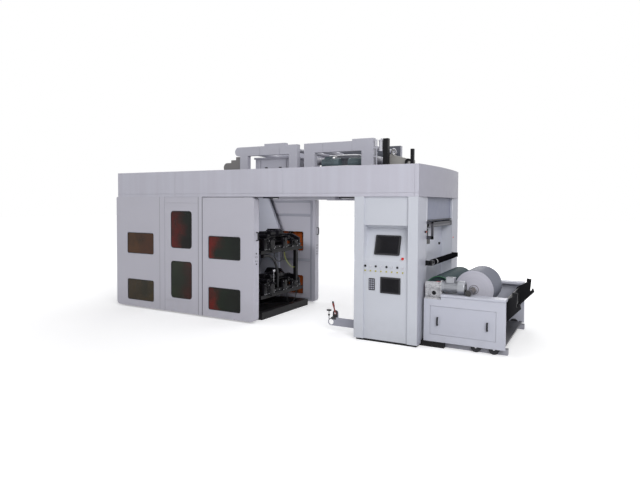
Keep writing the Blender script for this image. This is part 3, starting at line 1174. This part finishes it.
SPOKE = [(0.055, HAND_WHEEL_Y, HAND_WHEEL_Z - HAND_WHEEL), (0.052, HAND_WHEEL_Y, HAND_WHEEL_Z),
         (0.055, HAND_WHEEL_Y, HAND_WHEEL_Z + HAND_WHEEL)]

for name, z in zip(("lower", "upper"), LEVELS):
    deck = np.array([box("decks_right")[1][0], 0, z])
    blocks = [plate(deck + (-0.02, y, BLOCK_LOW + height / 2), END, width, height, 0.05, 0.010, 0.004)
              for y, width, height in BLOCKS]
    barrels = [cylinder_body(deck + (-0.26, y, dz), RIGHT, radius, length) for y, dz, radius, length in BARRELS]
    motors = [turned(deck + (-0.11, y, 0.150), FAR, MOTOR, 28) for y in (-0.32, -0.06)]
    boxes = [plate(deck + (-0.20, y, 0.088), TOP, 0.30, 0.16, 0.012, 0.010, 0.004) for y in (-0.24, 0.02)]
    boxes += [plate(deck + (-0.28, y, 0.10), TOP, 0.14, 0.11, 0.085, 0.012, 0.005) for y in (-0.24, 0.02)]
    bars = [plate(deck + (-0.30, 0, 0.045), END, 1.30, 0.13, 0.05, 0.008, 0.003),
            plate(deck + (-0.05, 0, -0.085), END, 1.24, 0.045, 0.062, 0.006, 0.003)]
    piece(name + "_deck_machinery", "machine", "black_paint", deck_coat, *blocks, *barrels, *motors, *boxes, *bars)
    wheels = [gear_wheel(deck + (0.031, y, dz), RIGHT, radius, 0.016, teeth) for y, dz, radius, teeth in WHEELS]
    piece(name + "_deck_wheels", "machine", "black_paint", deck_coat, *wheels,
          hoop(deck + (0.055, HAND_WHEEL_Y, HAND_WHEEL_Z), RIGHT, HAND_WHEEL, 0.006),
          turned(deck + (0.028, HAND_WHEEL_Y, HAND_WHEEL_Z), RIGHT, HUB, 14), pipe(deck + SPOKE, 0.005, 8, 3))
    piece(name + "_deck_pipes", "machine", "black_paint", black_coat,
          *[pipe(deck + route, radius, 10, samples) for radius, samples, route in PIPES])
    bolts = [deck + (BLOCK_FACE, y + dy, BLOCK_LOW + level) for y, width, height in BLOCKS
             for dy in (BOLT_INSET - width / 2, width / 2 - BOLT_INSET) for level in (BOLT_INSET, height - BOLT_INSET)]
    bolts += [deck + (0.012, y, -0.085) for y in np.arange(-0.56, 0.60, 0.14)]
    piece(name + "_deck_bolts", "machine", "steel", steel, at(bolt(RIGHT, 0.007, 0.005), bolts))

# %% Float of the ink supply
FLOAT_X, FLOAT_Y, FLOAT_RADIUS = -0.600, -0.235, 0.030
lean = np.linspace(-np.pi / 2, np.pi / 2, 12)
ball = turned((FLOAT_X, FLOAT_Y, 0.780), UP, FLOAT_RADIUS * np.column_stack([np.cos(lean), np.sin(lean)]), 22)
stem = turned((FLOAT_X, FLOAT_Y, 0.415), UP, [(0, 0), (0.006, 0), (0.006, 0.345), (0, 0.345)], 10)
piece("ink_float", "machine", "steel", steel, ball, stem)

# %% [markdown]
# ## Floor tray, wheels and arms
#
# A thin dark tray closes the base frame under the block, and keeps ink off the
# floor. The unwinder's rail wheels get hubs, and the loading arms their pivot
# bolts.

# %% Tray, hubs and pivot bolts
TRAY_X, TRAY_Z, TRAY_WIDTH, TRAY_THICK = -1.99, 0.030, 1.46, 0.004
ARM_X, ARM_FACE, ARM_Z = 3.320, -0.902, 0.250
piece("drip_tray", "machine", "black_paint", black_coat,
      plate((TRAY_X, 0.0, TRAY_Z), TOP, 2.96, TRAY_WIDTH, TRAY_THICK, 0.004, 0.001),
      *[plate((x, 0.0, TRAY_Z + TRAY_THICK), TOP, 0.05, TRAY_WIDTH, 0.012, 0.003, 0.001)
        for x in (TRAY_X, -1.20, -2.80)])
WHEEL_HUB = [(0, 0), (0.013, 0), (0.013, 0.002), (0.010, 0.004), (0.005, 0.0045), (0.004, 0.007), (0, 0.007)]
hub_places = [(x, box("rail_wheels")[0][1], 0.068) for x in (3.125, 3.360)]
piece("wheel_hubs", "machine", "steel", steel, *both_sides(at(turned(ORIGIN, NEAR, WHEEL_HUB, 20), hub_places)))
PIVOT = [(0, 0), (0.026, 0), (0.026, 0.002), (0.020, 0.006), (0.020, 0.008), (0.008, 0.009), (0, 0.009)]
arm_screws = [(ARM_X + dx, ARM_FACE, ARM_Z - 0.018) for dx in (-0.034, 0.034)]
piece("arm_pivots", "loading_arms", "steel", steel,
      *both_sides(turned((ARM_X, ARM_FACE, ARM_Z), NEAR, PIVOT, 24), at(dome(NEAR, 0.006, 0.003), arm_screws)))

# %% [markdown]
# ## On top of the header
#
# In the right portal stand a pump set, two motors with ribbed bodies, and pipes.
# Between the portals stands a blower. The portal plates carry bolts and thin
# seams, and the drying box seams and latches. A motor's ribs are one profile
# whose radius steps in and out along the axis.

# %% Machinery in the right portal
machine_grey = painted("pump grey", seen_as(92, 95, 104), clouds=0.25, edge=0.2, dust=0)
teal_grey = painted("motor teal", seen_as(86, 102, 108), clouds=0.2, edge=0.2, dust=0)
RIBS, RIB_PITCH = 9, 0.022
RIB = ((0.070, 0.032), (0.070, 0.042), (0.080, 0.044), (0.080, 0.052))
fin_profile = [(0, 0), (0.070, 0), (0.078, 0.008), (0.078, 0.030),
               *[(radius, along + RIB_PITCH * k) for k in range(RIBS) for radius, along in RIB],
               (0.084, 0.250), (0.084, 0.300), (0.070, 0.312), (0, 0.312)]
on_top = np.array([0, 0, box("header_deck")[1][2]])
piece("top_pump", "machine", "grey_paint", machine_grey,
      plate(on_top + (0.83, -0.22, 0), TOP, 0.58, 0.30, 0.17, 0.012, 0.006),
      plate(on_top + (0.83, -0.22, 0.17), TOP, 0.60, 0.32, 0.018, 0.012, 0.004),
      plate(on_top + (0.89, 0.24, 0), TOP, 0.76, 0.50, 0.245, 0.012, 0.006),
      *[plate(on_top + (x, -0.372, 0.085), FRONT, 0.020, 0.15, 0.010, 0.003, 0.002)
        for x in np.arange(0.58, 1.10, 0.075)])
piece("top_pump_motor", "machine", "silver_motor", teal_grey,
      *[turned(on_top + (x, -0.44, 0.100), RIGHT, fin_profile, 32) for x in (0.52, 1.00)],
      plate(on_top + (0.62, -0.44, 0.165), TOP, 0.10, 0.08, 0.045, 0.008, 0.004),
      *[plate(on_top + (x, -0.44, 0), TOP, 0.05, 0.13, 0.034, 0.006, 0.003) for x in (0.58, 0.78, 1.06, 1.26)])
UPPER_PIPE = [(0.56, -0.30, 0.18), (0.56, -0.30, 0.22), (0.60, -0.30, 0.235), (0.90, -0.30, 0.235),
              (1.08, -0.27, 0.232), (1.14, -0.16, 0.225), (1.14, -0.06, 0.220), (1.14, 0.01, 0.220)]
LOWER_PIPE = [(0.50, -0.36, -0.004), (0.50, -0.50, 0.03), (0.60, -0.535, 0.04), (1.10, -0.535, 0.04),
              (1.32, -0.50, 0.03)]
piece("top_pipes", "machine", "steel", steel,
      pipe(on_top + UPPER_PIPE, 0.014, 12, 5), pipe(on_top + LOWER_PIPE, 0.012, 12, 5))

# %% Blower between the portals, air cylinder, eye ring, and the drying box
BLOWER_X, BLOWER_Y, BLOWER_Z = 0.205, -0.30, 0.145
BLOWER = [(0, 0), (0.105, 0), (0.112, 0.008), (0.112, 0.085), (0.105, 0.095), (0.070, 0.095), (0.062, 0.070),
          (0.030, 0.070), (0.026, 0.090), (0, 0.092)]
piece("blower", "machine", "black_paint", black_coat,
      turned(on_top + (BLOWER_X, BLOWER_Y + 0.05, BLOWER_Z), NEAR, BLOWER, 44),
      plate(on_top + (BLOWER_X, BLOWER_Y, 0), TOP, 0.13, 0.12, 0.040, 0.010, 0.004))
piece("blower_ring", "machine", "steel", steel,
      hoop(on_top + (BLOWER_X, BLOWER_Y - 0.046, BLOWER_Z), NEAR, 0.088, 0.007))
AIR_CYLINDER = [(0, 0), (0.046, 0), (0.046, 0.020), (0.040, 0.023), (0.040, 0.150), (0.046, 0.153), (0.046, 0.172),
                (0.014, 0.174), (0.014, 0.196), (0, 0.196)]
piece("air_cylinder", "machine", "light_paint", pale_coat,
      turned(on_top + (1.6095, -0.585, 0.246), UP, AIR_CYLINDER, 26))
EYE_X, EYE_Y = 1.790, -0.535
piece("eye_ring", "machine", "steel", steel, hoop((EYE_X, EYE_Y, 2.800), (0, 1, 0.25), 0.034, 0.007),
      turned((EYE_X, EYE_Y, 2.745), UP, [(0, 0), (0.012, 0), (0.012, 0.022), (0, 0.022)], 14))
BOX_FACE = box("drying_box")[0][1] + 0.020
piece("drying_box_seams", "machine", "grey_paint", grey_coat,
      plate(on_top + (-0.435, BOX_FACE, 0.030), FRONT, 0.66, 0.012, 0.006, 0.003, 0.001),
      *[plate(on_top + (x, BOX_FACE, 0.115), FRONT, 0.008, 0.17, 0.006, 0.003, 0.001) for x in (-0.70, -0.17)])
piece("drying_box_latches", "machine", "black_plastic", black_plastic,
      *[plate(on_top + (x, BOX_FACE, 0.060), FRONT, 0.050, 0.018, 0.010, 0.004, 0.002) for x in (-0.58, -0.29)])

# %% Bolts and seams of the portal plates
PORTAL_FACE = box("top_frame_right")[0][1]
portal_bolts = [on_top + (x, PORTAL_FACE, z) for x in (-1.005, -0.910, 0.010, 0.105, 0.305, 0.435, 1.335, 1.465)
                for z in (0.04, 0.14, 0.24)]
piece("portal_bolts", "machine", "steel", steel, *both_sides(at(dome(NEAR, 0.006, 0.003), portal_bolts)))
piece("portal_seams", "machine", "grey_paint", grey_coat,
      *both_sides(*[plate(on_top + (x, PORTAL_FACE, 0.333), FRONT, 0.006, 0.130, 0.0012, 0.002, 0.0005)
                    for x in (-0.62, -0.21, 0.62, 1.14)]))

# %% [markdown]
# ## Lever pin
#
# The hand lever turns on a pin beside the ratchet. Its head is a shallow dome
# with a collar under it.

# %% Head of the lever's pin
PIN = [(0, 0), (0.013, 0), (0.013, 0.002), (0.010, 0.002), (0.008, 0.005), (0.004, 0.0065), (0, 0.007)]
piece("lever_pin", "hand_lever", "steel", steel, turned((0.945, -0.8075, 0.280), NEAR, PIN, 20))

bpy.context.view_layer.update()
